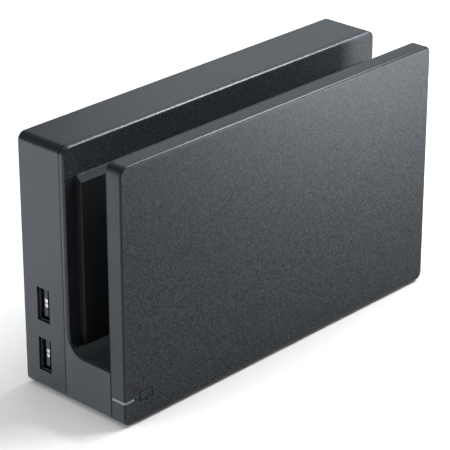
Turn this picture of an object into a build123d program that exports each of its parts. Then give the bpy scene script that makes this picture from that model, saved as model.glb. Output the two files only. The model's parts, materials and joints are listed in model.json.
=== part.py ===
"""Handheld console dock: a stand with an open slot for the console, a cable bay behind a
hinged cover, and a tilting plug in the slot floor. Millimetres, +Z up, front panel towards -Y,
origin under the middle of the dock on the surface it stands on."""

import os

from build123d import *

os.makedirs("parts", exist_ok=True)

# Overall sizes
width = 173.0
height = 104.0
foot_proud = 0.8
rear_step = 0.8  # the rear box is this much lower than the front panel
corner_radius = 3.2  # corners of the outline seen from the front
edge_fillet = 1.0  # rounding between the outline and the faces
parting_chamfer = 0.25  # fine groove where two mouldings meet

# Depths from front to back
panel_depth = 7.5
slot_gap = 21.8
slot_wall = 2.2
rear_depth = 22.5

# Wall thicknesses
panel_rim = 2.0
panel_wall = 2.2
liner_wall = 2.0
base_wall = 3.0
floor_wall = 2.2
shell_wall = 2.2
inner_wall = 2.0
base_plate_wall = 2.4
cover_wall = 2.4

# Clearances
fit = 0.2  # between fixed mouldings
run = 0.4  # round the moving cover
seat = 0.05  # between a core and its shell, or a screw and its pilot
window = 0.3  # round a socket in its opening

# Console slot
floor_top = 21.6
slot_corner = 8.0
guide_proud = 2.8
guide_inset = 6.0
guide_top = 91.5
guide_bevel = 2.4
guide_edge = 0.8
rail_proud = 1.5
rail_wide = 4.0
rail_inset = 26.0
rail_top = 95.0

# Fasteners and feet, flat-sided to keep their faces few
hidden_sides = 8
shown_sides = 12
screw_shank = 2.2
screw_head = 4.2
screw_head_high = 1.4
screw_taper = 12
boss_wide = 6.0
boss_overlap = 2.0  # the rear shell's bosses reach this far in front of the bay wall
well_play = 0.4
screw_inset = 8.5  # housing screws, from the sides of the bays
panel_screw_insets = (24.0, 60.0)
base_screw_insets = (26.0, 56.0)

# Sockets: sizes of the metal shells and the plastic inside
shell_sheet = 0.35
usb_long = 13.2
usb_thick = 5.9
usb_deep = 14.0
usb_corner = 0.6
usb_tongue_long = 11.1
usb_tongue_thick = 1.9
video_long = 15.0
video_thick = 5.6
video_deep = 11.0
video_corner = 1.2
video_tongue_long = 11.4
video_tongue_thick = 1.4
inlet_long = 9.0
inlet_thick = 3.3
inlet_deep = 8.0
inlet_corner = 1.3
inlet_tongue_long = 6.7
inlet_tongue_thick = 0.7
core_back = 3.0
tongue_short = 1.2  # the tongue ends this far inside the mouth

# Side sockets
side_port_from_rear = 11.4
side_port_recess = 0.9
side_lower_high = 15.7
side_port_pitch = 21.0
side_opening_long = 13.85
side_opening_wide = 6.75

# Cable bay and board bay
board_bay_wide = 74.3
bay_plug_room = 2.15  # under the sockets, for the plugs' grips
bay_mouth_recess = 0.3
cover_room = 1.4  # between the closed cover and the wall behind the board
video_high = 28.0
inlet_under_top = 9.0
ledge_wide = 2.0
ledge_low = 30.0

# Main board
board_thick = 1.6
board_low = 1.5
board_side_gap = 3.8
board_top_gap = 12.8
board_port_gap = 2.5
chip_long = 14.0
chip_high = 1.4
small_chip = 7.0
shield_long = 30.0
shield_tall = 24.0
shield_high = 2.8
shield_sheet = 0.4
cap_wide = 5.0
cap_high = 5.4
cap_pitch = 8.0

# Back cover and its hinge
hinge_radius = 1.6
hinge_play = 0.5
peg_wide = 1.6
peg_long = 1.4
peg_play = 0.3
cover_corner = 0.8
notch_deep = 8.0
notch_high = 16.0
notch_low = 5.0
notch_corner = 3.0
cover_rib_wide = 1.2
cover_rib_high = 1.0
cover_rib_inset = 14.0

# Tilting plug
carrier_long = 26.0
carrier_wide = 8.0
carrier_high = 9.6
carrier_under = 0.8  # space between the carrier and the slot floor
neck_long = 15.0
neck_wide = 6.4
neck_proud = 1.2
neck_corner = 1.5
neck_play = 0.9
pivot_under = 4.6  # from the carrier's top to the pivot
pivot_wide = 4.0
pivot_long = 4.2
pivot_play = 0.3
bracket_wide = 9.0
bracket_thick = 3.0
bracket_gap = 0.6
bracket_web = 1.5
plug_long = 8.25
plug_thick = 2.4
plug_corner = 1.15
plug_sheet = 0.25
plug_tall = 6.6
plug_root = 4.8
plug_mouth_long = 6.4
plug_mouth_thick = 0.9
plug_mouth_deep = 5.0
plug_board_thick = 1.2
plug_board_gap = 0.7  # to the springs
plug_board_wide = 7.2
plug_socket_long = 10.0
plug_socket_wide = 3.2
plug_socket_high = 1.6
spring_sheet = 0.3
spring_wide = 2.0
spring_foot = 2.4
spring_reach = 3.4
spring_gap = 0.5
spring_edge = 0.3

# Ribbon cable
ribbon_wide = 5.0
ribbon_thick = 0.2
ribbon_gap = 0.7
ribbon_slot = 2.0
socket_high = 2.2
socket_margin = 1.0

# Lamp
led_high = 10.8
pipe_high = 1.0
pipe_front = 5.0
pipe_side_gap = 1.0
pipe_play = 0.1
pipe_end_gap = 0.7  # the slit is this much longer than the pipe at the front
led_board_thick = 1.0
led_board_long = 9.0
led_board_high = 8.0
led_long = 1.6
led_from_side = 3.6
led_cable_wide = 3.0
led_cable_from_side = 8.5

# Feet
foot_wide = 9.0
foot_sides = 24
foot_sunk = 0.8
foot_chamfer = 0.4
foot_inset = 13.0
foot_front_inset = 6.0
foot_rear_inset = 9.0

# Depth planes
depth = panel_depth + slot_gap + slot_wall + rear_depth
front_y = -depth / 2
panel_back = front_y + panel_depth
slot_back = panel_back + slot_gap
parting_y = slot_back + slot_wall
rear_y = depth / 2
liner_front = panel_back - liner_wall
panel_inner = front_y + panel_wall
guide_front = slot_back - guide_proud
rail_back = panel_back + rail_proud

# Heights
bottom_z = foot_proud
rear_top = height - rear_step
panel_high = height - bottom_z
panel_mid = bottom_z + panel_high / 2
rear_high = rear_top - bottom_z
rear_mid = bottom_z + rear_high / 2
floor_under = floor_top - floor_wall
base_plate_top = bottom_z + base_plate_wall

# Sides
side_x = width / 2
shell_in_x = side_x - shell_wall
guide_half = side_x - guide_inset
rail_x = side_x - rail_inset

# Main board and the sockets on it
side_port_y = rear_y - side_port_from_rear
board_back = side_port_y - usb_thick / 2
board_front = board_back - board_thick
board_left = -shell_in_x + board_side_gap
port_out = -shell_in_x + board_bay_wide
port_in = port_out - inner_wall
board_right = port_in - board_port_gap
board_bottom = bottom_z + shell_wall + board_low
board_top = rear_top - board_top_gap
side_upper_high = side_lower_high + side_port_pitch
inlet_high = board_top - inlet_under_top
bay_port_high = (inlet_high + video_high) / 2

# Walls inside the rear shell
back_out = rear_y - cover_wall - cover_room
back_in = back_out - inner_wall
bay_back = board_back - bay_plug_room
bay_front = bay_back - inner_wall

# Plug
plug_y = (guide_front + rail_back) / 2
carrier_top = floor_under - carrier_under
carrier_bottom = carrier_top - carrier_high
pivot_z = carrier_top - pivot_under
neck_top = floor_top + neck_proud
plug_board_bottom = carrier_bottom - plug_board_thick
ribbon_z = plug_board_bottom - plug_socket_high / 2
bracket_x = carrier_long / 2 + bracket_gap
plug_board_long = carrier_long - 2 * (spring_edge + spring_wide + plug_board_gap)

# Screw places
screw_bore = screw_shank / 2 + seat
head_bore = screw_head / 2 + well_play / 2
through_bore = screw_shank / 2 + fit
housing_boss_face = bay_front - boss_overlap
housing_seat = bay_back - screw_head_high - fit
housing_low = bottom_z + shell_wall + boss_wide
housing_up = rear_top - shell_wall - boss_wide
bay_left = port_out + screw_inset
bay_screws = [
    (side_x - screw_inset, housing_up),
    (side_x - screw_inset, housing_low),
    (bay_left, housing_up),
    (bay_left, housing_low),
]
well_screws = [(-side_x + screw_inset, housing_up)]
board_screw_left = board_left + boss_wide / 2 + screw_head / 2
board_screw_right = board_right - boss_wide
board_screw_points = [
    (board_screw_left, board_top - boss_wide),
    (board_screw_left, side_lower_high + side_port_pitch / 2),
    (board_screw_right, (inlet_high + bay_port_high) / 2),
    (board_screw_right, board_bottom + 2 * boss_wide),
]
panel_screw_high = (bottom_z + floor_under) / 2
panel_screw_points = []
base_screw_points = []
for side in (-1, 1):
    panel_screw_points += [(side * (side_x - inset), panel_screw_high) for inset in panel_screw_insets]
    base_screw_points += [(side * (side_x - inset), plug_y) for inset in base_screw_insets]


def write(piece, label):
    """Name a finished piece and write it as the node of that name."""
    piece.label = label
    export_step(piece, f"parts/{label}.step")


# Sockets: mouth plane, section and depth of each, the tongue's shift is along the thickness
def socket_plane(mouth_x, facing, y, z):
    """Plane of a socket's mouth, local X along the long side and local Y to the rear."""
    return Plane(origin=(mouth_x, y, z), x_dir=(0, 0, -facing), z_dir=(facing, 0, 0))


usb_size = dict(
    long=usb_long,
    thick=usb_thick,
    corner=usb_corner,
    deep=usb_deep,
    tongue_long=usb_tongue_long,
    tongue_thick=usb_tongue_thick,
    tongue_shift=usb_thick / 2 - shell_sheet - usb_tongue_thick,
    ease=chamfer,
)
video_size = dict(
    long=video_long,
    thick=video_thick,
    corner=video_corner,
    deep=video_deep,
    tongue_long=video_tongue_long,
    tongue_thick=video_tongue_thick,
    tongue_shift=0.0,
    ease=chamfer,
)
inlet_size = dict(
    long=inlet_long,
    thick=inlet_thick,
    corner=inlet_corner,
    deep=inlet_deep,
    tongue_long=inlet_tongue_long,
    tongue_thick=inlet_tongue_thick,
    tongue_shift=0.0,
    ease=fillet,
)
side_mouth = -side_x + side_port_recess
bay_mouth = port_out - bay_mouth_recess
sockets = {
    "side_port_upper": (usb_size, side_mouth, -1, side_upper_high),
    "side_port_lower": (usb_size, side_mouth, -1, side_lower_high),
    "bay_port": (usb_size, bay_mouth, 1, bay_port_high),
    "video_port": (video_size, bay_mouth, 1, video_high),
    "power_inlet": (inlet_size, bay_mouth, 1, inlet_high),
}

for label, (size, mouth_x, facing, z) in sockets.items():
    mouth = socket_plane(mouth_x, facing, board_back + size["thick"] / 2, z)
    inner_long = size["long"] - 2 * shell_sheet
    inner_thick = size["thick"] - 2 * shell_sheet
    inner_corner = size["corner"] - shell_sheet

    # Drawn metal shell, open at both ends
    with BuildPart() as shell:
        with BuildSketch(mouth) as outside:
            Rectangle(size["long"], size["thick"])
            size["ease"](outside.vertices(), size["corner"])
        extrude(amount=-size["deep"])
        with BuildSketch(mouth) as inside:
            Rectangle(inner_long, inner_thick)
            size["ease"](inside.vertices(), inner_corner)
        extrude(amount=-size["deep"], mode=Mode.SUBTRACT)
    write(shell.part, f"{label}_shell")

    # Plastic core: a plug at the back of the shell and the tongue that carries the contacts
    with BuildPart() as tongue:
        with BuildSketch(mouth.offset(-size["deep"])) as back:
            Rectangle(inner_long - 2 * seat, inner_thick - 2 * seat)
            size["ease"](back.vertices(), inner_corner)
        extrude(amount=core_back)
        with BuildSketch(mouth.offset(-size["deep"])):
            with Locations((0, size["tongue_shift"])):
                Rectangle(size["tongue_long"], size["tongue_thick"])
        extrude(amount=size["deep"] - tongue_short)
    write(tongue.part, f"{label}_tongue")


# Front panel: a tray with a rounded front edge, open to the back
with BuildPart() as front_panel:
    with BuildSketch(Plane.XZ.offset(-panel_back)):
        with Locations((0, panel_mid)):
            RectangleRounded(width, panel_high, corner_radius)
    extrude(amount=panel_depth)
    fillet(front_panel.faces().sort_by(Axis.Y)[0].edges(), edge_fillet)
    chamfer(front_panel.faces().sort_by(Axis.Y)[-1].edges(), parting_chamfer)
    with BuildSketch(Plane.XZ.offset(-panel_back)):
        with Locations((0, panel_mid)):
            RectangleRounded(width - 2 * panel_rim, panel_high - 2 * panel_rim, corner_radius - panel_rim)
    extrude(amount=panel_depth - panel_wall, mode=Mode.SUBTRACT)
    # Bosses for the panel screws
    with BuildSketch(Plane.XZ.offset(-liner_front)):
        with Locations(*panel_screw_points):
            RegularPolygon(boss_wide / 2, hidden_sides)
            RegularPolygon(screw_bore, hidden_sides, mode=Mode.SUBTRACT)
    extrude(amount=liner_front - panel_inner)
    # Slit for the light pipe, round the lower left corner
    with BuildSketch(Plane.XY.offset(led_high - pipe_high / 2 - pipe_play)):
        with Locations((-side_x - pipe_play, front_y - pipe_play)):
            Rectangle(
                pipe_front + 2 * pipe_play + pipe_end_gap,
                panel_wall + 2 * pipe_play,
                align=(Align.MIN, Align.MIN),
            )
            Rectangle(
                panel_rim + 2 * pipe_play,
                panel_depth - pipe_side_gap + 2 * pipe_play,
                align=(Align.MIN, Align.MIN),
            )
    extrude(amount=pipe_high + 2 * pipe_play, mode=Mode.SUBTRACT)
write(front_panel.part, "front_panel")


# Light pipe: an L that lies flush in the panel's corner
with BuildPart() as light_pipe:
    with BuildSketch(Plane.XY.offset(led_high - pipe_high / 2)) as pipe_plan:
        with Locations((-side_x, front_y)):
            Rectangle(pipe_front, panel_wall, align=(Align.MIN, Align.MIN))
            Rectangle(panel_rim, panel_depth - pipe_side_gap, align=(Align.MIN, Align.MIN))
        outer_corner = pipe_plan.vertices().group_by(Axis.Y)[0].sort_by(Axis.X)[0]
        fillet(outer_corner, edge_fillet)
    extrude(amount=pipe_high)
write(light_pipe.part, "light_pipe")


# Lamp board on the inner front wall, with the lamp behind the light pipe
with BuildPart() as led_board:
    with BuildSketch(Plane.XZ.offset(-liner_front)):
        with Locations((-side_x + panel_rim + fit + led_board_long / 2, led_high)):
            Rectangle(led_board_long, led_board_high)
    extrude(amount=led_board_thick)
write(led_board.part, "led_board")

with BuildPart() as led:
    with BuildSketch(Plane.XZ.offset(-liner_front + led_board_thick)):
        with Locations((-side_x + led_from_side, led_high)):
            Rectangle(led_long, pipe_high)
    extrude(amount=liner_front - panel_inner - led_board_thick - pipe_play)
write(led.part, "led")

led_cable_x = -side_x + led_cable_from_side
led_socket_front = board_front - socket_high
with BuildPart() as led_cable:
    with BuildSketch(Plane.XZ.offset(-led_socket_front)):
        with Locations((led_cable_x, led_high)):
            Rectangle(led_cable_wide, ribbon_thick)
    extrude(amount=led_socket_front - liner_front)
write(led_cable.part, "led_cable")

with BuildPart() as led_socket:
    with BuildSketch(Plane.XZ.offset(-board_front)):
        with Locations((led_cable_x, led_high)):
            Rectangle(led_cable_wide + socket_margin, socket_high)
    extrude(amount=socket_high)
write(led_socket.part, "led_socket")


# Cradle frame: base, slot floor, the slot's rear wall and the inner front wall in one moulding
ribbon_x = board_right - ribbon_wide
with BuildPart() as cradle_frame:
    # Side profile, run across the width and cut to the outline seen from the front
    with BuildSketch(Plane.YZ) as side_profile:
        with BuildLine():
            Polyline(
                (panel_back, bottom_z),
                (parting_y, bottom_z),
                (parting_y, rear_top),
                (slot_back, rear_top),
                (slot_back, floor_top),
                (panel_back, floor_top),
                close=True,
            )
        make_face()
        slot_vertex = side_profile.vertices().sort_by_distance((slot_back, floor_top))[0]
        fillet(slot_vertex, slot_corner)
    extrude(amount=side_x, both=True)
    with BuildSketch(Plane.XZ.offset(-parting_y)):
        with Locations((0, rear_mid)):
            RectangleRounded(width, rear_high, corner_radius)
    extrude(amount=parting_y - panel_back, mode=Mode.INTERSECT)
    # Rounded edge of the slot: up from the lip, along the rear wall and over its top
    slot_faces = [
        cradle_frame.faces().filter_by(Axis.Y).sort_by(Axis.Y)[1],
        cradle_frame.faces().filter_by(Axis.Z).sort_by(Axis.Z)[1],
        cradle_frame.faces().filter_by(GeomType.CYLINDER).sort_by(SortBy.RADIUS)[-1],
    ]
    slot_edges = ShapeList(edge for face in slot_faces for edge in face.edges())
    rim_edges = slot_edges.filter_by(
        lambda edge: abs(edge.center().X) > side_x / 2 or edge.center().Z > rear_mid
    )
    fillet(rim_edges, edge_fillet)
    chamfer(cradle_frame.faces().sort_by(Axis.Y)[-1].edges(), parting_chamfer)
    # Hollow of the base, open below
    with BuildSketch(Plane.XY.offset(bottom_z)):
        with Locations((0, panel_back)):
            Rectangle(width - 2 * base_wall, slot_gap, align=(Align.CENTER, Align.MIN))
    extrude(amount=floor_under - bottom_z, mode=Mode.SUBTRACT)
    # Inner front wall, nested in the panel's rim
    liner_inset = panel_rim + fit
    with BuildSketch(Plane.XZ.offset(-panel_back)):
        with Locations((0, panel_mid)):
            RectangleRounded(
                width - 2 * liner_inset,
                panel_high - 2 * liner_inset,
                corner_radius - panel_rim,
            )
    extrude(amount=liner_wall)
    # Guide block on the slot's rear wall, with a bevelled top
    with BuildSketch(Plane.XY.offset(floor_top)) as guide_plan:
        with Locations((0, guide_front)):
            Rectangle(2 * guide_half, parting_y - guide_front, align=(Align.CENTER, Align.MIN))
        fillet(guide_plan.vertices().group_by(Axis.Y)[0], guide_edge)
    extrude(amount=guide_top - floor_top)
    with BuildSketch(Plane.YZ):
        with BuildLine():
            Polyline(
                (guide_front, guide_top - guide_bevel),
                (guide_front, guide_top),
                (guide_front + guide_bevel, guide_top),
                close=True,
            )
        make_face()
    extrude(amount=guide_half, both=True, mode=Mode.SUBTRACT)
    # Two rails on the inner front wall
    with BuildSketch(Plane.XY.offset(floor_top)) as rail_plan:
        with Locations((-rail_x, panel_back), (rail_x, panel_back)):
            Rectangle(rail_wide, rail_proud, align=(Align.CENTER, Align.MIN))
        fillet(rail_plan.vertices().group_by(Axis.Y)[-1], rail_proud / 2)
    extrude(amount=rail_top - floor_top)
    # Window for the plug and the brackets that carry its pivots
    with BuildSketch(Plane.XY.offset(floor_under)):
        with Locations((0, plug_y)):
            RectangleRounded(neck_long + 2 * neck_play, neck_wide + 2 * neck_play, neck_corner)
    extrude(amount=neck_top - floor_under, mode=Mode.SUBTRACT)
    bracket_low = pivot_z - pivot_wide / 2 - pivot_play - bracket_web
    for side in (-1, 1):
        with BuildSketch(Plane.YZ.offset(side * (bracket_x + bracket_thick / 2))):
            with Locations((plug_y, bracket_low)):
                Rectangle(bracket_wide, floor_top - bracket_low, align=(Align.CENTER, Align.MIN))
            with Locations((plug_y, pivot_z)):
                Circle(pivot_wide / 2 + pivot_play, mode=Mode.SUBTRACT)
        extrude(amount=bracket_thick / 2, both=True)
    # Posts for the base screws
    with BuildSketch(Plane.XY.offset(base_plate_top)):
        with Locations(*base_screw_points):
            RegularPolygon(boss_wide / 2, hidden_sides)
            RegularPolygon(screw_bore, hidden_sides, mode=Mode.SUBTRACT)
    extrude(amount=floor_under - base_plate_top)
    # Bosses behind the rear wall for the board and the rear shell
    for face_y, points in ((board_front, board_screw_points), (housing_boss_face, bay_screws + well_screws)):
        with BuildSketch(Plane.XZ.offset(-face_y)):
            with Locations(*points):
                RegularPolygon(boss_wide / 2, hidden_sides)
                RegularPolygon(screw_bore, hidden_sides, mode=Mode.SUBTRACT)
        extrude(amount=face_y - parting_y)
    # Holes in the inner front wall for the panel screws and the lamp's cable
    with BuildSketch(Plane.XZ.offset(-panel_back)):
        with Locations(*panel_screw_points):
            RegularPolygon(through_bore, hidden_sides)
        with Locations((led_cable_x, led_high)):
            Rectangle(led_cable_wide + ribbon_slot, ribbon_slot)
    extrude(amount=liner_wall, mode=Mode.SUBTRACT)
    # Slots in the rear wall for the two flat cables
    with BuildSketch(Plane.XZ.offset(-parting_y)):
        with Locations((led_cable_x, led_high)):
            Rectangle(led_cable_wide + ribbon_slot, ribbon_slot)
        with Locations((ribbon_x, ribbon_z)):
            Rectangle(ribbon_wide + ribbon_slot, ribbon_slot)
    extrude(amount=slot_wall, mode=Mode.SUBTRACT)
write(cradle_frame.part, "cradle_frame")


# Rear shell: the box behind the slot, with a board bay and an open cable bay
hinge_x = -shell_in_x + hinge_radius + hinge_play
hinge_y = rear_y - hinge_radius
with BuildPart() as rear_shell:
    with BuildSketch(Plane.XZ.offset(-rear_y)):
        with Locations((0, rear_mid)):
            RectangleRounded(width, rear_high, corner_radius)
    extrude(amount=rear_depth)
    chamfer(rear_shell.faces().sort_by(Axis.Y)[-1].edges(), edge_fillet)
    with BuildSketch(Plane.XZ.offset(-rear_y)):
        with Locations((0, rear_mid)):
            RectangleRounded(width - 2 * shell_wall, rear_high - 2 * shell_wall, corner_radius - shell_wall)
    extrude(amount=rear_depth, mode=Mode.SUBTRACT)
    # Stepped inner wall: behind the board, down beside the sockets, along the bay's floor
    wall_reach = side_x - shell_wall / 2
    with BuildSketch(Plane.XY.offset(bottom_z + shell_wall / 2)):
        with BuildLine():
            Polyline(
                (-wall_reach, back_in),
                (port_in, back_in),
                (port_in, bay_front),
                (wall_reach, bay_front),
                (wall_reach, bay_back),
                (port_out, bay_back),
                (port_out, back_out),
                (-wall_reach, back_out),
                close=True,
            )
        make_face()
    extrude(amount=rear_high - shell_wall)
    # Ledge that stops the closed cover
    with BuildSketch(Plane.XY.offset(ledge_low)):
        with Locations((shell_in_x, rear_y - cover_wall - fit)):
            Rectangle(2 * ledge_wide, ledge_wide, align=(Align.CENTER, Align.MAX))
    extrude(amount=rear_top - shell_wall - ledge_low)
    with BuildSketch(Plane.YZ.offset(side_x)):
        with Locations((parting_y, bottom_z)):
            Rectangle(rear_depth, rear_high, align=(Align.MIN, Align.MIN))
    extrude(amount=ledge_wide, mode=Mode.SUBTRACT)
    # Bosses that meet the cradle's, one of them at the bottom of a well
    with BuildSketch(Plane.XZ.offset(-housing_boss_face)):
        with Locations(*bay_screws):
            RegularPolygon(boss_wide / 2, hidden_sides)
    extrude(amount=housing_boss_face - bay_front)
    with BuildSketch(Plane.XZ.offset(-housing_boss_face)):
        with Locations(*well_screws):
            RegularPolygon(boss_wide / 2, hidden_sides)
    extrude(amount=housing_boss_face - back_in)
    with BuildSketch(Plane.XZ.offset(-housing_boss_face)):
        with Locations(*bay_screws, *well_screws):
            RegularPolygon(through_bore, hidden_sides)
    extrude(amount=housing_boss_face - housing_seat, mode=Mode.SUBTRACT)
    with BuildSketch(Plane.XZ.offset(-housing_seat)):
        with Locations(*bay_screws, *well_screws):
            RegularPolygon(head_bore, shown_sides)
    extrude(amount=housing_seat - back_out, mode=Mode.SUBTRACT)
    # Openings for the sockets
    for label, (size, mouth_x, facing, z) in sockets.items():
        on_side = facing < 0
        opening_long = side_opening_long if on_side else size["long"] + 2 * window
        opening_wide = side_opening_wide if on_side else size["thick"] + 2 * window
        wall_face = -side_x if on_side else port_out
        wall_thick = shell_wall if on_side else inner_wall
        with BuildSketch(socket_plane(wall_face, facing, board_back + size["thick"] / 2, z)):
            Rectangle(opening_long, opening_wide)
        extrude(amount=-wall_thick, mode=Mode.SUBTRACT)
    # Sockets for the cover's pegs, in the top and bottom walls
    with BuildSketch(Plane.XY.offset(bottom_z + shell_wall - peg_long + run - peg_play)):
        with Locations((hinge_x, hinge_y)):
            Circle(peg_wide / 2 + peg_play)
    extrude(amount=rear_high - 2 * (shell_wall - peg_long + run - peg_play), mode=Mode.SUBTRACT)
    # Recesses for the rear feet
    with BuildSketch(Plane.XY.offset(bottom_z)):
        for side in (-1, 1):
            with Locations((side * (side_x - foot_inset), rear_y - foot_rear_inset)):
                RegularPolygon(foot_wide / 2 + fit, foot_sides)
    extrude(amount=foot_sunk, mode=Mode.SUBTRACT)
write(rear_shell.part, "rear_shell")


# Back cover: a flush plate with a round hinge edge, two pegs and a notch for the cables
cover_bottom = bottom_z + shell_wall + run
cover_top = rear_top - shell_wall - run
cover_right = shell_in_x - run
cover_high = cover_top - cover_bottom
with BuildPart() as back_cover:
    with BuildSketch(Plane.XY.offset(cover_bottom)):
        with Locations((hinge_x, rear_y - cover_wall)):
            Rectangle(cover_right - hinge_x, cover_wall, align=(Align.MIN, Align.MIN))
        with Locations((hinge_x, hinge_y)):
            Circle(hinge_radius)
    extrude(amount=cover_high)
    free_corners = back_cover.edges().filter_by(Axis.Y).group_by(Axis.X)[-1]
    fillet(free_corners, cover_corner)
    # Cable notch in the free edge
    with BuildSketch(Plane.XZ.offset(-rear_y)):
        with Locations((cover_right, cover_bottom + notch_low + notch_high / 2)):
            RectangleRounded(2 * notch_deep, notch_high, notch_corner)
    extrude(amount=cover_wall, mode=Mode.SUBTRACT)
    # Stiffening ribs inside
    rib_left = hinge_x + cover_rib_inset
    rib_long = cover_right - cover_rib_inset - rib_left
    with BuildSketch(Plane.XZ.offset(-rear_y + cover_wall)):
        for share in (1, 2):
            with Locations((rib_left, cover_bottom + share * cover_high / 3)):
                Rectangle(rib_long, cover_rib_wide, align=(Align.MIN, Align.CENTER))
    extrude(amount=cover_rib_high)
    # Hinge pegs
    with BuildSketch(Plane.XY.offset(cover_bottom - peg_long)):
        with Locations((hinge_x, hinge_y)):
            Circle(peg_wide / 2)
    extrude(amount=cover_high + 2 * peg_long)
write(back_cover.part, "back_cover")


# Base plate: closes the base from below
with BuildPart() as base_plate:
    with BuildSketch(Plane.XY.offset(bottom_z)):
        with Locations((0, panel_back + fit)):
            Rectangle(
                width - 2 * base_wall - 2 * fit,
                slot_gap - 2 * fit,
                align=(Align.CENTER, Align.MIN),
            )
    extrude(amount=base_plate_wall)
    with BuildSketch(Plane.XY.offset(bottom_z)):
        for side in (-1, 1):
            with Locations((side * (side_x - foot_inset), panel_back + foot_front_inset)):
                RegularPolygon(foot_wide / 2 + fit, foot_sides)
    extrude(amount=foot_sunk, mode=Mode.SUBTRACT)
    base_seat = bottom_z + screw_head_high + fit / 2
    with BuildSketch(Plane.XY.offset(bottom_z)):
        with Locations(*base_screw_points):
            RegularPolygon(head_bore, shown_sides)
    extrude(amount=base_seat - bottom_z, mode=Mode.SUBTRACT)
    with BuildSketch(Plane.XY.offset(bottom_z)):
        with Locations(*base_screw_points):
            RegularPolygon(through_bore, hidden_sides)
    extrude(amount=base_plate_wall, mode=Mode.SUBTRACT)
write(base_plate.part, "base_plate")


# Feet: rubber discs in their recesses
feet = {
    "foot_front_left": (-1, panel_back + foot_front_inset),
    "foot_front_right": (1, panel_back + foot_front_inset),
    "foot_rear_left": (-1, rear_y - foot_rear_inset),
    "foot_rear_right": (1, rear_y - foot_rear_inset),
}
for label, (side, y) in feet.items():
    with BuildPart() as foot:
        with BuildSketch():
            with Locations((side * (side_x - foot_inset), y)):
                RegularPolygon(foot_wide / 2, foot_sides)
        extrude(amount=foot_proud + foot_sunk)
        chamfer(foot.faces().sort_by(Axis.Z)[0].edges(), foot_chamfer)
    write(foot.part, label)


# Main board with its screw holes
with BuildPart() as main_board:
    with BuildSketch(Plane.XZ.offset(-board_back)):
        with Locations((board_left, board_bottom)):
            Rectangle(board_right - board_left, board_top - board_bottom, align=(Align.MIN, Align.MIN))
        with Locations(*board_screw_points):
            RegularPolygon(through_bore, hidden_sides, mode=Mode.SUBTRACT)
    extrude(amount=board_thick)
write(main_board.part, "main_board")

# Chips, shield can and capacitors stand on the board's rear face
board_mid = (board_left + board_right) / 2
chip_z = (bay_port_high + board_top) / 2
on_board = Plane.XZ.offset(-board_back)
with BuildPart() as board_chips:
    with BuildSketch(on_board):
        with Locations((board_mid, chip_z)):
            Rectangle(chip_long, chip_long)
        with Locations((board_mid, video_high)):
            Rectangle(small_chip, small_chip)
        with Locations((board_mid, bay_port_high - small_chip)):
            Rectangle(small_chip, chip_long / 2)
    extrude(amount=-chip_high)
write(board_chips.part, "board_chips")

with BuildPart() as board_shield:
    with BuildSketch(on_board):
        with Locations((board_mid, chip_z)):
            Rectangle(shield_long, shield_tall)
    extrude(amount=-shield_high)
    fillet(board_shield.edges().filter_by(Axis.Y), 2 * shield_sheet)
    with BuildSketch(on_board):
        with Locations((board_mid, chip_z)):
            Rectangle(shield_long - 2 * shield_sheet, shield_tall - 2 * shield_sheet)
    extrude(amount=-shield_high + shield_sheet, mode=Mode.SUBTRACT)
write(board_shield.part, "board_shield")

with BuildPart() as board_capacitors:
    with BuildSketch(on_board):
        for step in (-1, 0, 1):
            with Locations((board_mid + step * cap_pitch, board_bottom + cap_wide)):
                RegularPolygon(cap_wide / 2, shown_sides)
    extrude(amount=-cap_high)
write(board_capacitors.part, "board_capacitors")


# Tilting plug: carrier with pivots, metal shell, plastic core, board and ribbon socket
with BuildPart() as plug_carrier:
    with BuildSketch(Plane.XY.offset(carrier_bottom)):
        with Locations((0, plug_y)):
            Rectangle(carrier_long, carrier_wide)
    extrude(amount=carrier_high)
    with BuildSketch(Plane.XY.offset(carrier_top)):
        with Locations((0, plug_y)):
            RectangleRounded(neck_long, neck_wide, neck_corner)
    extrude(amount=neck_top - carrier_top)
    chamfer(plug_carrier.faces().sort_by(Axis.Z)[-1].edges(), neck_proud / 2)
    with BuildSketch(Plane.YZ):
        with Locations((plug_y, pivot_z)):
            Circle(pivot_wide / 2)
    extrude(amount=carrier_long / 2 + pivot_long, both=True)
    with BuildSketch(Plane.XY.offset(neck_top)):
        with Locations((0, plug_y)):
            RectangleRounded(plug_long + 2 * seat, plug_thick + 2 * seat, plug_corner)
    extrude(amount=-plug_root, mode=Mode.SUBTRACT)
write(plug_carrier.part, "plug_carrier")

plug_inner_long = plug_long - 2 * plug_sheet
plug_inner_thick = plug_thick - 2 * plug_sheet
plug_base = Plane.XY.offset(neck_top - plug_root)
with BuildPart() as plug_shell:
    with BuildSketch(plug_base):
        with Locations((0, plug_y)):
            RectangleRounded(plug_long, plug_thick, plug_corner)
            RectangleRounded(plug_inner_long, plug_inner_thick, plug_corner - plug_sheet, mode=Mode.SUBTRACT)
    extrude(amount=plug_root + plug_tall)
write(plug_shell.part, "plug_shell")

with BuildPart() as plug_core:
    with BuildSketch(plug_base):
        with Locations((0, plug_y)):
            RectangleRounded(
                plug_inner_long - 2 * seat,
                plug_inner_thick - 2 * seat,
                plug_corner - plug_sheet - seat,
            )
    extrude(amount=plug_root + plug_tall - plug_sheet)
    with BuildSketch(Plane.XY.offset(neck_top + plug_tall)):
        with Locations((0, plug_y)):
            RectangleRounded(plug_mouth_long, plug_mouth_thick, plug_mouth_thick / 3)
    extrude(amount=-plug_mouth_deep, mode=Mode.SUBTRACT)
write(plug_core.part, "plug_core")

with BuildPart() as plug_board:
    with BuildSketch(Plane.XY.offset(plug_board_bottom)):
        with Locations((0, plug_y)):
            Rectangle(plug_board_long, plug_board_wide)
    extrude(amount=plug_board_thick)
write(plug_board.part, "plug_board")

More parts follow.
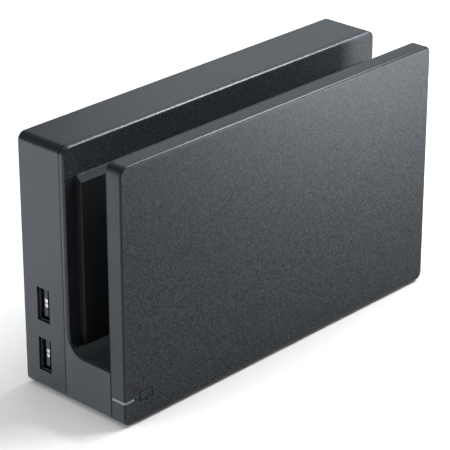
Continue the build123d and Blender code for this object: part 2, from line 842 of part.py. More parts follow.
plug_socket_back = plug_y + plug_board_wide / 2
with BuildPart() as plug_socket:
    with BuildSketch(Plane.XY.offset(plug_board_bottom)):
        with Locations((0, plug_socket_back)):
            Rectangle(plug_socket_long, plug_socket_wide, align=(Align.CENTER, Align.MAX))
    extrude(amount=-plug_socket_high)
write(plug_socket.part, "plug_socket")

# Two leaf springs on the base plate that centre the carrier
spring_top = carrier_bottom - spring_gap - spring_sheet / 2
spring_low = base_plate_top + spring_sheet / 2
spring_x = carrier_long / 2 - spring_edge - spring_wide / 2
with BuildPart() as carrier_springs:
    for side in (-1, 1):
        with BuildSketch(Plane.YZ.offset(side * spring_x)):
            with BuildLine():
                Polyline(
                    (plug_y - spring_reach, spring_top),
                    (plug_y - spring_foot, spring_low),
                    (plug_y + spring_foot, spring_low),
                    (plug_y + spring_reach, spring_top),
                )
            trace(line_width=spring_sheet)
        extrude(amount=spring_wide / 2, both=True)
write(carrier_springs.part, "carrier_springs")

# Ribbon cable from the plug to the main board, and the socket it ends in
ribbon_start = plug_socket_back + ribbon_gap
ribbon_turn = slot_back - ribbon_wide / 2 - fit
ribbon_end = board_front - socket_high
with BuildPart() as ribbon_cable:
    with BuildSketch(Plane.XY.offset(ribbon_z - ribbon_thick / 2)):
        with BuildLine():
            Polyline((0, ribbon_start), (0, ribbon_turn), (ribbon_x, ribbon_turn), (ribbon_x, ribbon_end))
        trace(line_width=ribbon_wide)
    extrude(amount=ribbon_thick)
write(ribbon_cable.part, "ribbon_cable")

with BuildPart() as ribbon_socket:
    with BuildSketch(Plane.XZ.offset(-board_front)):
        with Locations((ribbon_x, ribbon_z)):
            Rectangle(ribbon_wide + socket_margin, socket_high)
    extrude(amount=socket_high)
write(ribbon_socket.part, "ribbon_socket")


# Screws: each group of like screws is one node
housing_screw_long = housing_seat - parting_y - fit
board_screw_long = board_back - parting_y - fit
panel_screw_long = panel_back - panel_inner - fit
base_screw_long = floor_under - base_seat - fit
screw_sets = {
    "housing_screws": (Plane.XZ.offset(-housing_seat), bay_screws + well_screws, housing_screw_long),
    "board_screws": (Plane.XZ.offset(-board_back), board_screw_points, board_screw_long),
    "panel_screws": (Plane.XZ.offset(-panel_back), panel_screw_points, panel_screw_long),
    "base_screws": (Plane.XY.offset(base_seat), base_screw_points, base_screw_long),
}
for label, (seat_plane, points, screw_long) in screw_sets.items():
    with BuildPart() as screws:
        with BuildSketch(seat_plane):
            with Locations(*points):
                RegularPolygon(screw_shank / 2, hidden_sides)
        extrude(amount=screw_long)
        with BuildSketch(seat_plane):
            with Locations(*points):
                RegularPolygon(screw_head / 2, shown_sides)
        extrude(amount=-screw_head_high, taper=screw_taper)
    write(screws.part, label)
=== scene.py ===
"""Looks of the handheld console dock: materials, small details, floor, light and camera.
Metres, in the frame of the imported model: +Z up, front panel towards -Y."""

import json
import math

import bmesh
import bpy
from mathutils import Matrix, Vector


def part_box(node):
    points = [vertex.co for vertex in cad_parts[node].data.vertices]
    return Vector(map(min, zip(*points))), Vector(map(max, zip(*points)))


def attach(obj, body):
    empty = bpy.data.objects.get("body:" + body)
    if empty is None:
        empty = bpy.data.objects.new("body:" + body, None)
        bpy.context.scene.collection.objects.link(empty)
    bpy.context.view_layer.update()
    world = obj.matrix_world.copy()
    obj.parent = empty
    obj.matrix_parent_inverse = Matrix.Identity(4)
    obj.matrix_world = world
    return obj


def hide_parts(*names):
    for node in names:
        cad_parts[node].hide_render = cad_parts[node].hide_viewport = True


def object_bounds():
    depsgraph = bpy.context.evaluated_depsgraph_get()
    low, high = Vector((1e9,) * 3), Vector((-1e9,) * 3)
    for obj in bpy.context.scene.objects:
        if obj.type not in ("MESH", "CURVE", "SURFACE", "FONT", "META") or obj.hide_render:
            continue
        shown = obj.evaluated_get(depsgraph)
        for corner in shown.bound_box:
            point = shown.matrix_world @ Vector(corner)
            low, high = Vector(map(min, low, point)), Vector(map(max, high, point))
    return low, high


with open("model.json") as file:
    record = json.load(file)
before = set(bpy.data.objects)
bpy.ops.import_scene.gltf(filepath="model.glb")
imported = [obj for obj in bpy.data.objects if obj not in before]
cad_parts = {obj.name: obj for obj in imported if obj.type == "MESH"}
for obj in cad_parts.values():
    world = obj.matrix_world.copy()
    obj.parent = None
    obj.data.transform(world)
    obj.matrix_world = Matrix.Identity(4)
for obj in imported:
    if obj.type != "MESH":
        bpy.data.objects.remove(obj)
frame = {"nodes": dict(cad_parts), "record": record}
cad_low, cad_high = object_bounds()
nodes = frame["nodes"]
mm = 0.001

panel_low, panel_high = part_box("front_panel")
shell_low, shell_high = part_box("rear_shell")
cradle_low, cradle_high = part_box("cradle_frame")
cover_low, cover_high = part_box("back_cover")
plate_low, plate_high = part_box("base_plate")


# Tones and finishes of the housing, each pair from dark to light or smooth to rough

charcoal = ((0.031, 0.034, 0.039), (0.038, 0.041, 0.047))
shell_tones = ((0.0135, 0.0165, 0.0205), (0.0165, 0.02, 0.0245))
panel_tones = ((0.0008, 0.001, 0.0013), (0.029, 0.0326, 0.0379))
cover_tones = ((0.009, 0.0102, 0.0118), (0.031, 0.0346, 0.0398))
wall_tones = ((0.0055, 0.0063, 0.0075), (0.044, 0.049, 0.056))
# A darker lining inside the slot, darkened further with painted shade below the guide block's top
slot_shade_black = (0.002, 0.002, 0.0024)
# Painted shade on the rounded edges, standing in for the dark reflection they show
edge_shade_tone = (0.0025, 0.003, 0.0037)
satin = (0.27, 0.34)
shell_satin = (0.28, 0.34)
plate_satin = (0.36, 0.46)
cool_gloss = (0.87, 0.935, 1.0, 1.0)

# Texture of the housing
fine_size = 0.16 * mm
grain_size = 0.62 * mm
cloud_size = 22 * mm
grain_fade = 0.35 * mm
shade_fade = 0.3 * mm
skin_relief = 0.05 * mm
fine_in_grain = 0.25  # height of the fine texture beside the grain's pits
edge_smoothness = 0.08  # what the smoothing of the rounded edges takes off the roughness


# Places on the housing

corner_radius = 3.2 * mm  # corners of the outline seen from the front
edge_radius = 1.0 * mm  # rounding between the outline and the faces
edge_middle = 0.3  # depth of a rounding at its middle, as a share of its radius
rim_middle = 0.5  # the same for the slot's rim, whose smoother, painted-dark band is wider
face_reach = 0.25 * mm  # how far a face's box stands out on both sides of it
face_margin = 1.1 * mm  # plain border round a grained face
cover_plain_strip = 3.2 * mm  # beside the hinge
slot_wall = 2.2 * mm
slot_wall_y = shell_low.y - slot_wall
slot_floor_z = 21.6 * mm
slot_corner = 8.0 * mm
grain_low_z = slot_floor_z - 0.8 * mm
# Bounds of the painted shade inside the slot
shade_low_z = slot_floor_z - 0.5 * mm
shade_high_z = 91.0 * mm  # just under the guide block's top


# Shader building

def node(tree, kind, inputs=None, **settings):
    """Add a shader node; an input takes a value or another node's output."""
    made = tree.nodes.new(kind)
    for name, value in settings.items():
        setattr(made, name, value)
    for name, value in (inputs or {}).items():
        if isinstance(value, bpy.types.NodeSocket):
            tree.links.new(value, made.inputs[name])
        else:
            made.inputs[name].default_value = value
    return made


def math_node(tree, operation, first, second=0.0):
    """One arithmetic step on two values or outputs."""
    return node(tree, "ShaderNodeMath", {0: first, 1: second}, operation=operation).outputs[0]


def noise(tree, place, size, detail=2.0, stretch=(1.0, 1.0, 1.0)):
    """Noise whose features are about this size in metres, longer where stretch is above 1."""
    scale = [1.0 / (size * s) for s in stretch]
    sized = node(tree, "ShaderNodeMapping", {"Vector": place, "Scale": scale}).outputs[0]
    return node(tree, "ShaderNodeTexNoise", {"Vector": sized, "Scale": 1.0, "Detail": detail}).outputs["Fac"]


def remap(tree, value, from_low, from_high, to_low=0.0, to_high=1.0):
    """Carry a value from one range to another and hold it there."""
    inputs = {
        "Value": value,
        "From Min": from_low,
        "From Max": from_high,
        "To Min": to_low,
        "To Max": to_high,
    }
    return node(tree, "ShaderNodeMapRange", inputs).outputs[0]


def blend(tree, share, first, second):
    """Colour between two colours or colour outputs."""
    mixed = node(tree, "ShaderNodeMix", {"Factor": share}, data_type="RGBA")
    for socket, colour in ((mixed.inputs[6], first), (mixed.inputs[7], second)):
        if isinstance(colour, bpy.types.NodeSocket):
            tree.links.new(colour, socket)
        else:
            socket.default_value = (*colour, 1.0)
    return mixed.outputs[2]


def surface(name, **constants):
    """New material; constants go straight onto the shader's own sockets."""
    made = bpy.data.materials.new(name)
    made.use_nodes = True
    tree = made.node_tree
    shader = tree.nodes["Principled BSDF"]
    for socket, value in constants.items():
        shader.inputs[socket.replace("_", " ")].default_value = value
    place = node(tree, "ShaderNodeTexCoord").outputs["Object"]
    return made, tree, shader, place


def finish_surface(tree, shader, colour, roughness, height, strength, depth):
    """Join colour, roughness and bump to the shader."""
    tree.links.new(colour, shader.inputs["Base Color"])
    tree.links.new(roughness, shader.inputs["Roughness"])
    bump = node(tree, "ShaderNodeBump", {"Height": height, "Strength": strength, "Distance": depth})
    tree.links.new(bump.outputs[0], shader.inputs["Normal"])


def edge_share(tree, place, box):
    """1 in the middle of the rounded edges of a box-like moulding, 0 on its flat faces."""
    axes = node(tree, "ShaderNodeSeparateXYZ", {0: place}).outputs
    depths = []
    for axis in range(3):
        low = math_node(tree, "SUBTRACT", axes[axis], box[0][axis])
        high = math_node(tree, "SUBTRACT", box[1][axis], axes[axis])
        depths.append(math_node(tree, "MINIMUM", low, high))
    share = 0.0
    for first, second, radius in ((0, 2, corner_radius), (0, 1, edge_radius), (1, 2, edge_radius)):
        further = math_node(tree, "MAXIMUM", depths[first], depths[second])
        here = remap(tree, further, edge_middle * radius, radius, 1.0, 0.0)
        share = math_node(tree, "MAXIMUM", share, here)
    return share


def inside_share(tree, place, low, high, soft):
    """1 inside a box in the frame, falling to 0 over the soft width outside it."""
    axes = node(tree, "ShaderNodeSeparateXYZ", {0: place}).outputs
    share = None
    for axis in range(3):
        over = math_node(tree, "SUBTRACT", axes[axis], high[axis])
        under = math_node(tree, "SUBTRACT", low[axis], axes[axis])
        here = remap(tree, math_node(tree, "MAXIMUM", over, under), 0.0, soft, 1.0, 0.0)
        share = here if share is None else math_node(tree, "MULTIPLY", share, here)
    return share


def slot_rim_share(tree, place):
    """1 in the middle of the rounded rim that follows the slot's profile, 0 on the flat faces."""
    axes = node(tree, "ShaderNodeSeparateXYZ", {0: place}).outputs
    back = math_node(tree, "SUBTRACT", axes[1], slot_wall_y - slot_corner)
    down = math_node(tree, "SUBTRACT", slot_floor_z + slot_corner, axes[2])
    reaches = {0: math_node(tree, "MAXIMUM", back, 0.0), 1: math_node(tree, "MAXIMUM", down, 0.0)}
    away = node(tree, "ShaderNodeCombineXYZ", reaches).outputs[0]
    length = node(tree, "ShaderNodeVectorMath", {0: away}, operation="LENGTH").outputs["Value"]
    beyond = math_node(tree, "SUBTRACT", length, slot_corner)
    inward = math_node(tree, "SUBTRACT", cradle_high.x, math_node(tree, "ABSOLUTE", axes[0]))
    further = math_node(tree, "MAXIMUM", beyond, inward)
    return remap(tree, further, rim_middle * edge_radius, edge_radius, 1.0, 0.0)


def moulded(
    name,
    box,
    rough,
    grained=None,
    grain_tones=None,
    blackened=None,
    gloss=0.5,
    dull=0.16,
    tones=charcoal,
    slotted=False,
):
    """Moulding with a satin skin, smoother along its outer edges, which get painted shade.

    It is grained inside the grained box, where dull is added to its roughness, and painted dark as
    shade inside the shade box, over a darker lining. A slotted one is smoother and painted dark along the
    slot's rim as well."""
    made, tree, shader, place = surface(name, IOR=1.5, Specular_IOR_Level=gloss, Specular_Tint=cool_gloss)
    fine = noise(tree, place, fine_size, 3.0)
    grain = noise(tree, place, grain_size, 2.0)
    cloud = noise(tree, place, cloud_size, 3.0)
    tone = blend(tree, remap(tree, cloud, 0.3, 0.7), *tones)
    if grained is None:
        height = fine
        strength = remap(tree, cloud, 0.0, 1.0, 0.02, 0.04)
        roughness = remap(tree, fine, 0.3, 0.7, rough[0], rough[1])
    else:
        share = inside_share(tree, place, *grained, grain_fade)
        pits = math_node(tree, "MULTIPLY", remap(tree, grain, 0.35, 0.65), share)
        speckled = blend(tree, remap(tree, grain, 0.39, 0.7), *grain_tones)
        tone = blend(tree, share, tone, speckled)
        height = math_node(tree, "ADD", math_node(tree, "MULTIPLY", fine, fine_in_grain), pits)
        strength = remap(tree, share, 0.0, 1.0, 0.06, 0.3)
        smooth = remap(tree, fine, 0.3, 0.7, rough[0], rough[1])
        roughness = math_node(tree, "ADD", smooth, math_node(tree, "MULTIPLY", share, dull))
    edge = edge_share(tree, place, box)
    if slotted:
        edge = math_node(tree, "MAXIMUM", edge, slot_rim_share(tree, place))
    smoother = math_node(tree, "MULTIPLY", edge, edge_smoothness)
    roughness = math_node(tree, "SUBTRACT", roughness, smoother)
    # Painted shade along the rounded edges, which are also smoother: their colour is darkened where they
    # show a dark reflection
    edge_shade = math_node(tree, "MULTIPLY", edge, remap(tree, cloud, 0.3, 0.7, 0.75, 0.95))
    tone = blend(tree, edge_shade, tone, edge_shade_tone)
    # Painted shade inside the shade box, over the slot's darker lining
    if blackened is not None:
        tone = blend(tree, inside_share(tree, place, *blackened, shade_fade), tone, slot_shade_black)
    finish_surface(tree, shader, tone, roughness, height, strength, skin_relief)
    return made


def metal(name, dark, light, rough, along):
    """Plated or turned metal with fine lines along one axis and a few dull spots."""
    made, tree, shader, place = surface(name, Metallic=1.0)
    stretch = [12.0 if axis == along else 1.0 for axis in "XYZ"]
    lines = noise(tree, place, 0.09 * mm, 2.0, stretch)
    spots = noise(tree, place, 1.6 * mm, 3.0)
    colour = blend(tree, remap(tree, spots, 0.35, 0.7), light, dark)
    roughness = remap(tree, math_node(tree, "ADD", lines, spots), 0.6, 1.4, rough[0], rough[1])
    finish_surface(tree, shader, colour, roughness, lines, 0.12, 0.02 * mm)
    return made


def black_plastic(name, dark, light, rough, gloss=0.5):
    """Small insulating moulding with flow marks."""
    made, tree, shader, place = surface(name, IOR=1.55, Specular_IOR_Level=gloss)
    flow = noise(tree, place, 1.8 * mm, 3.0, (1.0, 1.0, 2.5))
    fine = noise(tree, place, 0.1 * mm, 2.0)
    colour = blend(tree, remap(tree, flow, 0.35, 0.7), dark, light)
    finish_surface(tree, shader, colour, remap(tree, flow, 0.3, 0.7, *rough), fine, 0.08, 0.02 * mm)
    return made


def board_mask(name):
    """Solder mask with tracks under it, seen as raised lines of a lighter green."""
    made, tree, shader, place = surface(name, IOR=1.5)
    axes = node(tree, "ShaderNodeSeparateXYZ", {0: place}).outputs
    flat = node(tree, "ShaderNodeCombineXYZ", {0: axes[0], 1: axes[2], 2: axes[1]}).outputs[0]
    inputs = {"Vector": flat, "Scale": 1 / (6 * mm), "Mortar Size": 0.06, "Mortar Smooth": 0.2, "Bias": 0.0}
    tracks = node(tree, "ShaderNodeTexBrick", inputs).outputs["Fac"]
    weave = noise(tree, place, 0.5 * mm, 2.0, (3.0, 1.0, 1.0))
    base = blend(tree, weave, (0.008, 0.05, 0.022), (0.014, 0.075, 0.034))
    colour = blend(tree, math_node(tree, "MULTIPLY", tracks, 0.7), base, (0.03, 0.15, 0.06))
    finish_surface(tree, shader, colour, remap(tree, weave, 0.3, 0.7, 0.22, 0.36), tracks, 0.25, 0.04 * mm)
    return made


def film(name):
    """Flat cable: amber film over fine copper lines."""
    made, tree, shader, place = surface(name, IOR=1.6, Coat_Weight=0.4, Coat_Roughness=0.15)
    wave = {"Vector": place, "Scale": 1 / (5 * mm), "Distortion": 0.4}
    lines = node(tree, "ShaderNodeTexWave", wave, bands_direction="X").outputs["Fac"]
    mottle = noise(tree, place, 2 * mm)
    colour = blend(tree, lines, (0.36, 0.17, 0.035), (0.55, 0.32, 0.09))
    finish_surface(tree, shader, colour, remap(tree, mottle, 0.3, 0.7, 0.25, 0.4), lines, 0.15, 0.02 * mm)
    return made


def frosted(name):
    """Light pipe: milky plastic that passes a little light."""
    made, tree, shader, place = surface(name, IOR=1.49, Transmission_Weight=0.1)
    mist = noise(tree, place, 1.2 * mm, 3.0)
    fine = noise(tree, place, 0.08 * mm)
    colour = blend(tree, remap(tree, mist, 0.3, 0.7), (0.15, 0.16, 0.17), (0.2, 0.21, 0.22))
    finish_surface(tree, shader, colour, remap(tree, mist, 0.3, 0.7, 0.3, 0.45), fine, 0.1, 0.02 * mm)
    return made


def rubber(name):
    """Soft grey-black rubber, dusty where it meets the table."""
    made, tree, shader, place = surface(name, IOR=1.45, Sheen_Weight=0.15, Sheen_Roughness=0.5)
    grain = noise(tree, place, 0.35 * mm, 4.0)
    dust = noise(tree, place, 3 * mm, 4.0)
    height = node(tree, "ShaderNodeSeparateXYZ", {0: place}).outputs[2]
    sole = remap(tree, height, 0.0, 0.5 * mm, 1.0, 0.0)
    worn = math_node(tree, "MULTIPLY", sole, remap(tree, dust, 0.4, 0.7))
    colour = blend(tree, math_node(tree, "MULTIPLY", worn, 0.5), (0.018, 0.018, 0.019), (0.1, 0.098, 0.095))
    finish_surface(tree, shader, colour, remap(tree, grain, 0.3, 0.7, 0.7, 0.9), grain, 0.35, 0.06 * mm)
    return made


# Materials of the imported nodes

# Boxes of the grained faces, and of the painted shade inside the slot
panel_face = (
    (panel_low.x + face_margin, panel_low.y - face_reach, panel_low.z + face_margin),
    (panel_high.x - face_margin, panel_low.y + face_reach, panel_high.z - face_margin),
)
slot_faces = (
    (cradle_low.x + face_margin, cradle_low.y, grain_low_z),
    (cradle_high.x - face_margin, slot_wall_y + face_reach, cradle_high.z - face_margin),
)
slot_shade_box = (
    (cradle_low.x + face_margin, panel_high.y + face_reach, shade_low_z),
    (cradle_high.x - face_margin, slot_wall_y + face_reach, shade_high_z),
)
cover_face = (
    (cover_low.x + cover_plain_strip, cover_high.y - face_reach, cover_low.z - mm),
    (cover_high.x, cover_high.y + face_reach, cover_high.z + mm),
)

panel_plastic = moulded(
    "panel_plastic_grained", (panel_low, panel_high), satin, panel_face, panel_tones, gloss=0.21
)
shell_plastic = moulded(
    "shell_plastic_satin", (shell_low, shell_high), shell_satin, gloss=0.78, tones=shell_tones
)
cradle_plastic = moulded(
    "cradle_plastic_grained",
    (cradle_low, cradle_high),
    satin,
    slot_faces,
    wall_tones,
    blackened=slot_shade_box,
    dull=0.4,
    slotted=True,
)
cover_plastic = moulded(
    "cover_plastic_grained", (cover_low, cover_high), satin, cover_face, cover_tones, gloss=0.2
)
plate_plastic = moulded("plate_plastic_satin", (plate_low, plate_high), plate_satin)
plated_sheet = metal("plated_sheet", (0.42, 0.42, 0.43), (0.6, 0.6, 0.61), (0.22, 0.4), "X")
spring_steel = metal("spring_steel", (0.36, 0.35, 0.33), (0.52, 0.51, 0.5), (0.2, 0.36), "Z")
blackened_steel = metal("blackened_steel", (0.06, 0.06, 0.062), (0.12, 0.12, 0.125), (0.32, 0.5), "X")
can_metal = metal("can_metal", (0.5, 0.5, 0.51), (0.68, 0.68, 0.69), (0.25, 0.42), "Y")
contact_metal = metal("contact_metal", (0.8, 0.79, 0.76), (0.95, 0.95, 0.94), (0.18, 0.3), "X")
# A dark metal for the socket shells
dark_shell_metal = metal("dark_shell_metal", (0.12, 0.12, 0.125), (0.2, 0.2, 0.21), (0.3, 0.45), "X")
tongue_grey = black_plastic("tongue_grey", (0.03, 0.031, 0.033), (0.045, 0.046, 0.049), (0.4, 0.55))
# Painted shade for the sign's engraved grooves, and a painted highlight along their lower edges
sign_groove_shade = black_plastic("sign_groove_shade", (0.003, 0.003, 0.0035), (0.005, 0.005, 0.0055), (0.7, 0.85), 0.05)
sign_edge_highlight = black_plastic("sign_edge_highlight", (0.05, 0.052, 0.056), (0.07, 0.073, 0.078), (0.35, 0.5))
insulator = black_plastic("insulator_black", (0.012, 0.012, 0.013), (0.022, 0.022, 0.024), (0.28, 0.42))
package = black_plastic("package_black", (0.016, 0.016, 0.018), (0.028, 0.028, 0.03), (0.5, 0.65))
solder_mask = board_mask("solder_mask")
cable_film = film("cable_film")
pipe_plastic = frosted("pipe_plastic")
foot_rubber = rubber("foot_rubber")

slot_materials = {
    "panel_plastic": panel_plastic,
    "body_plastic": shell_plastic,
    "socket_metal": plated_sheet,
    "socket_plastic": insulator,
    "board": solder_mask,
    "chip": package,
    "capacitor": can_metal,
    "cable": cable_film,
    "lamp_plastic": pipe_plastic,
    "rubber": foot_rubber,
    "screw_steel": blackened_steel,
}
own_materials = {
    "cradle_frame": cradle_plastic,
    "back_cover": cover_plastic,
    "base_plate": plate_plastic,
    "carrier_springs": spring_steel,
}
for name in ("side_port_upper", "side_port_lower", "bay_port"):
    own_materials[f"{name}_tongue"] = tongue_grey
    own_materials[f"{name}_shell"] = dark_shell_metal
for part in frame["record"]["subparts"]:
    name = part["node"]
    mesh = nodes[name].data
    mesh.materials.clear()
    mesh.materials.append(own_materials.get(name, slot_materials[part["material_slot"]]))


# Added pieces

def piece(name, shape, material, body):
    """Turn a bmesh in the frame into a piece that rides on a body."""
    mesh = bpy.data.meshes.new(name)
    bmesh.ops.recalc_face_normals(shape, faces=shape.faces)
    shape.to_mesh(mesh)
    shape.free()
    mesh.materials.append(material)
    made = bpy.data.objects.new(name, mesh)
    bpy.context.scene.collection.objects.link(made)
    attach(made, body)
    return made


def add_prism(shape, outline, along):
    """Close a planar outline into a prism that reaches along a vector."""
    front = [shape.verts.new(point) for point in outline]
    back = [shape.verts.new(Vector(point) + along) for point in outline]
    shape.faces.new(front)
    shape.faces.new(list(reversed(back)))
    for here in range(len(outline)):
        ahead = (here + 1) % len(outline)
        shape.faces.new((front[here], front[ahead], back[ahead], back[here]))


# Contacts on the tongues of the data sockets, the middle two bent over the tongue's end
contacts = ((-3.5 * mm, 1.0 * mm), (-0.95 * mm, 1.5 * mm), (0.95 * mm, 1.5 * mm), (3.5 * mm, 1.0 * mm))
contact_long = 7.0 * mm
contact_thick = 0.1 * mm
contact_inset = 0.5 * mm
cap_share = 0.75  # of the tongue's thickness, under a bent contact
tongue_thick = 1.9 * mm
tongue_from_front = 2.35 * mm  # from the moulding's front face to the tongue's contact face

for name in ("side_port_upper", "side_port_lower", "bay_port"):
    low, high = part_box(f"{name}_tongue")
    centre = (low.z + high.z) / 2
    facing = 1.0 if name == "bay_port" else -1.0
    end = high.x if facing > 0 else low.x
    face = low.y + tongue_from_front
    shape = bmesh.new()
    for shift, wide in contacts:
        bent = abs(shift) < wide
        tip = end if bent else end - facing * contact_inset
        far = end - facing * contact_long
        low_z = centre + shift - wide / 2
        high_z = centre + shift + wide / 2
        strip = [(tip, face, low_z), (tip, face, high_z), (far, face, high_z), (far, face, low_z)]
        add_prism(shape, strip, Vector((0, -contact_thick, 0)))
        if bent:
            near = face - contact_thick
            over = face + cap_share * tongue_thick
            cap = [(end, near, low_z), (end, near, high_z), (end, over, high_z), (end, over, low_z)]
            add_prism(shape, cap, Vector((facing * contact_thick, 0, 0)))
    piece(f"{name}_contacts", shape, contact_metal, "dock")

# Monitor sign beside the lamp: a frame, a neck and a foot, as thin marks on the panel, with painted shade
# for its engraved grooves and a painted highlight under the level bars
sign_centre = Vector((-75.6 * mm, panel_low.y, 10.9 * mm))
sign_wide = 6.4 * mm
sign_high = 3.6 * mm
sign_line = 0.46 * mm
sign_proud = 0.03 * mm
highlight_line = 0.2 * mm  # painted highlight along the lower edge of the level marks
neck_high = 0.7 * mm
foot_wide = 2.6 * mm

sign_bars = (
    (0.0, sign_high / 2, sign_wide, sign_line),
    (0.0, -sign_high / 2, sign_wide, sign_line),
    (-sign_wide / 2, 0.0, sign_line, sign_high + sign_line),
    (sign_wide / 2, 0.0, sign_line, sign_high + sign_line),
    (0.0, -sign_high / 2 - neck_high / 2, 2 * sign_line, neck_high),
    (0.0, -sign_high / 2 - neck_high, foot_wide, sign_line),
)
# Painted highlights just under the level bars
sign_highlight_bars = [
    (x, z - high / 2 - highlight_line / 2, wide - 2 * sign_line, highlight_line)
    for x, z, wide, high in sign_bars
    if wide > foot_wide / 2
]
sign_parts = (("monitor_sign", sign_bars, sign_groove_shade), ("monitor_sign_highlights", sign_highlight_bars, sign_edge_highlight))
for name, bars, sign_paint in sign_parts:
    shape = bmesh.new()
    for x, z, wide, high in bars:
        corner = sign_centre + Vector((x - wide / 2, 0, z - high / 2))
        across = Vector((wide, 0, 0))
        up = Vector((0, 0, high))
        outline = [corner, corner + across, corner + across + up, corner + up]
        add_prism(shape, outline, Vector((0, -sign_proud, 0)))
    piece(name, shape, sign_paint, "dock")


def solid_boxes(name):
    """Boxes of a node's separate solids, from left to right."""
    shape = bmesh.new()
    shape.from_mesh(nodes[name].data)
    bmesh.ops.remove_doubles(shape, verts=shape.verts, dist=0.001 * mm)
    unseen = set(shape.verts)
    boxes = []
    while unseen:
        grow = [unseen.pop()]
        points = []
        while grow:
            vertex = grow.pop()
            points.append(vertex.co.copy())
            joined = [edge.other_vert(vertex) for edge in vertex.link_edges]
            grow += [v for v in joined if v in unseen]
            unseen.difference_update(joined)
        boxes.append((Vector(map(min, zip(*points))), Vector(map(max, zip(*points)))))
    shape.free()
    return sorted(boxes, key=lambda box: (round(box[0].x, 5), round(box[0].z, 5)))


# Cross-head screws: the head's profile as radius and height, the thread, the tip and the recess
screw_head_high = 1.4 * mm
thread_crest = 1.1 * mm
thread_root = 0.88 * mm
thread_pitch = 0.6 * mm
thread_start = 0.5 * mm
tip_plain = 1.6 * mm  # without thread, its end tapered
tip_taper = 1.0 * mm
tip_thick = 0.9 * mm
tip_end = 0.35 * mm
head_profile = (
    (1.5 * mm, screw_head_high),
    (1.72 * mm, 1.34 * mm),
    (1.85 * mm, 1.18 * mm),
    (2.1 * mm, 0.0),
    (thread_crest, 0.0),
)
recess_arm = 1.15 * mm
recess_half = 0.3 * mm
recess_deep = 0.9 * mm
recess_taper = (0.6, 0.8)  # size of the recess's floor beside its rim
screw_sides = 28


def add_screw(shape, place, shank_long):
    """Cross-head screw: local Z leaves the head, the seat is at zero."""
    profile = list(head_profile)
    depth = thread_start
    while depth < shank_long - tip_plain:
        profile += [(thread_crest, -depth), (thread_root, -depth - thread_pitch / 2)]
        depth += thread_pitch
    profile += [(tip_thick, -shank_long + tip_taper), (tip_end, -shank_long)]
    angles = [2 * math.pi * side / screw_sides for side in range(screw_sides)]
    rings = []
    for radius, z in profile:
        points = [Vector((radius * math.cos(a), radius * math.sin(a), z)) for a in angles]
        rings.append([shape.verts.new(place @ point) for point in points])
    for upper, lower in zip(rings, rings[1:]):
        for here in range(screw_sides):
            ahead = (here + 1) % screw_sides
            shape.faces.new((upper[here], lower[here], lower[ahead], upper[ahead])).smooth = True
    shape.faces.new(rings[-1])
    # Cross recess, sunk from the flat of the head
    quarter = ((recess_arm, -recess_half), (recess_arm, recess_half), (recess_half, recess_half))
    cross = []
    for turn in range(4):
        spin = Matrix.Rotation(turn * math.pi / 2, 3, "Z")
        cross += [spin @ Vector((x, y, 0)) for x, y in quarter]
    rim = [shape.verts.new(place @ Vector((p.x, p.y, screw_head_high))) for p in cross]
    recess_z = screw_head_high - recess_deep
    sunk = [Vector((recess_taper[0] * p.x, recess_taper[1] * p.y, recess_z)) for p in cross]
    floor = [shape.verts.new(place @ point) for point in sunk]
    count = len(cross)
    for here in range(count):
        ahead = (here + 1) % count
        shape.faces.new((rim[here], rim[ahead], floor[ahead], floor[here]))
    shape.faces.new(floor)
    # Flat of the head, between its outer ring and the recess
    around = []
    for ring in (rings[0], rim):
        around += [shape.edges.get(pair) for pair in zip(ring, ring[1:] + ring[:1])]
    bmesh.ops.triangle_fill(shape, use_beauty=True, edges=around)


# Screws that show from below and in the cable bay
downward = Matrix.Rotation(math.pi, 4, "X")
rearward = Matrix.Rotation(-math.pi / 2, 4, "X")
for name, turned, axis in (("base_screws", downward, 2), ("housing_screws", rearward, 1)):
    shape = bmesh.new()
    for low, high in solid_boxes(name):
        seat = (low + high) / 2
        seat[axis] = low[axis] + screw_head_high if axis == 2 else high[axis] - screw_head_high
        add_screw(shape, Matrix.Translation(seat) @ turned, high[axis] - low[axis] - screw_head_high)
    made = piece(f"{name}_cross_head", shape, blackened_steel, "dock")
    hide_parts(name)


# Floor, light and camera

floor_half = 4.0
floor_shape = bmesh.new()
bmesh.ops.create_grid(floor_shape, x_segments=1, y_segments=1, size=floor_half)
floor_mesh = bpy.data.meshes.new("floor")
floor_shape.to_mesh(floor_mesh)
floor_shape.free()
floor = bpy.data.objects.new("floor", floor_mesh)
bpy.context.scene.collection.objects.link(floor)
paper, tree, shader, place = surface("floor_paper")
fibre = noise(tree, place, 4 * mm, 4.0)
paper_colour = blend(tree, fibre, (0.93, 0.885, 0.87), (0.96, 0.915, 0.9))
finish_surface(tree, shader, paper_colour, remap(tree, fibre, 0.3, 0.7, 0.7, 0.8), fibre, 0.02, 0.1 * mm)
floor_mesh.materials.append(paper)

world_colour = (0.9, 0.92, 0.95, 1.0)
world_strength = 0.16
light_colour = (0.93, 0.98, 1.0)

world = bpy.data.worlds.new("studio")
world.use_nodes = True
background = world.node_tree.nodes["Background"]
background.inputs["Color"].default_value = world_colour
background.inputs["Strength"].default_value = world_strength
bpy.context.scene.world = world
bpy.context.scene.view_settings.view_transform = "Standard"


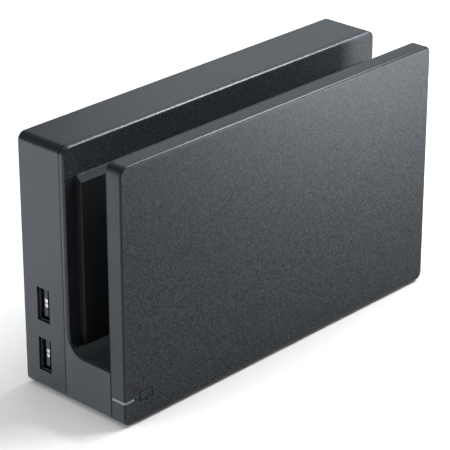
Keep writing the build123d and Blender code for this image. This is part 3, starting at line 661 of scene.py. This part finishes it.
def softbox(
    name, place, target, width, height, watts, long_axis=(0.0, 0.0, 1.0), spread=180.0, mirrored=True
):
    """Soft light at a place, turned to a target, its height along the long axis.

    Only a mirrored one shows in gloss."""
    light = bpy.data.lights.new(name, "AREA")
    light.shape = "RECTANGLE"
    light.size = width
    light.size_y = height
    light.energy = watts
    light.color = light_colour
    light.spread = math.radians(spread)
    made = bpy.data.objects.new(name, light)
    made.location = place
    made.visible_glossy = mirrored
    behind = (Vector(place) - Vector(target)).normalized()
    across = Vector(long_axis).cross(behind).normalized()
    made.rotation_mode = "QUATERNION"
    made.rotation_quaternion = Matrix((across, behind.cross(across), behind)).transposed().to_quaternion()
    bpy.context.scene.collection.objects.link(made)
    return made


middle = (cad_low + cad_high) / 2
softbox("overhead", (0.0, 0.0, 2.2), middle, 4.0, 4.0, 45.0, (0.0, 1.0, 0.0), mirrored=False)
softbox("key", (0.66, -0.255, 0.76), middle, 0.14, 0.8, 12.4, (0.0, -0.938, -0.346))
softbox("fill", (-1.0, 0.32, 0.2), middle, 0.8, 0.35, 11.0, mirrored=False)
glow = softbox("glow", (0.26, -0.285, 0.022), (0.066, -0.027, 0.12), 0.12, 0.06, 0.165, spread=50.0)
softbox("rear", (1.0, 0.76, 0.7), middle, 0.6, 0.6, 0.8)

# The glow lights these two alone, so that the shell's right side doesn't mirror it
lit_by_glow = bpy.data.collections.new("lit_by_glow")
for name in ("front_panel", "cradle_frame"):
    lit_by_glow.objects.link(nodes[name])
glow.light_linking.receiver_collection = lit_by_glow

azimuth = math.radians(-46.75)
elevation = math.radians(24.65)
distance = 0.88
look_at = Vector((0.0104, 0.0141, 0.0376))
back = Vector(
    (math.sin(azimuth) * math.cos(elevation), -math.cos(azimuth) * math.cos(elevation), math.sin(elevation))
)
camera_data = bpy.data.cameras.new("camera")
camera_data.sensor_width = 36.0
camera_data.lens = 176.0
camera_data.clip_start = 0.05
camera_data.clip_end = 20.0
camera = bpy.data.objects.new("camera", camera_data)
camera.location = look_at + back * distance
camera.rotation_mode = "QUATERNION"
camera.rotation_quaternion = (-back).to_track_quat("-Z", "Y")
bpy.context.scene.collection.objects.link(camera)
bpy.context.scene.camera = camera
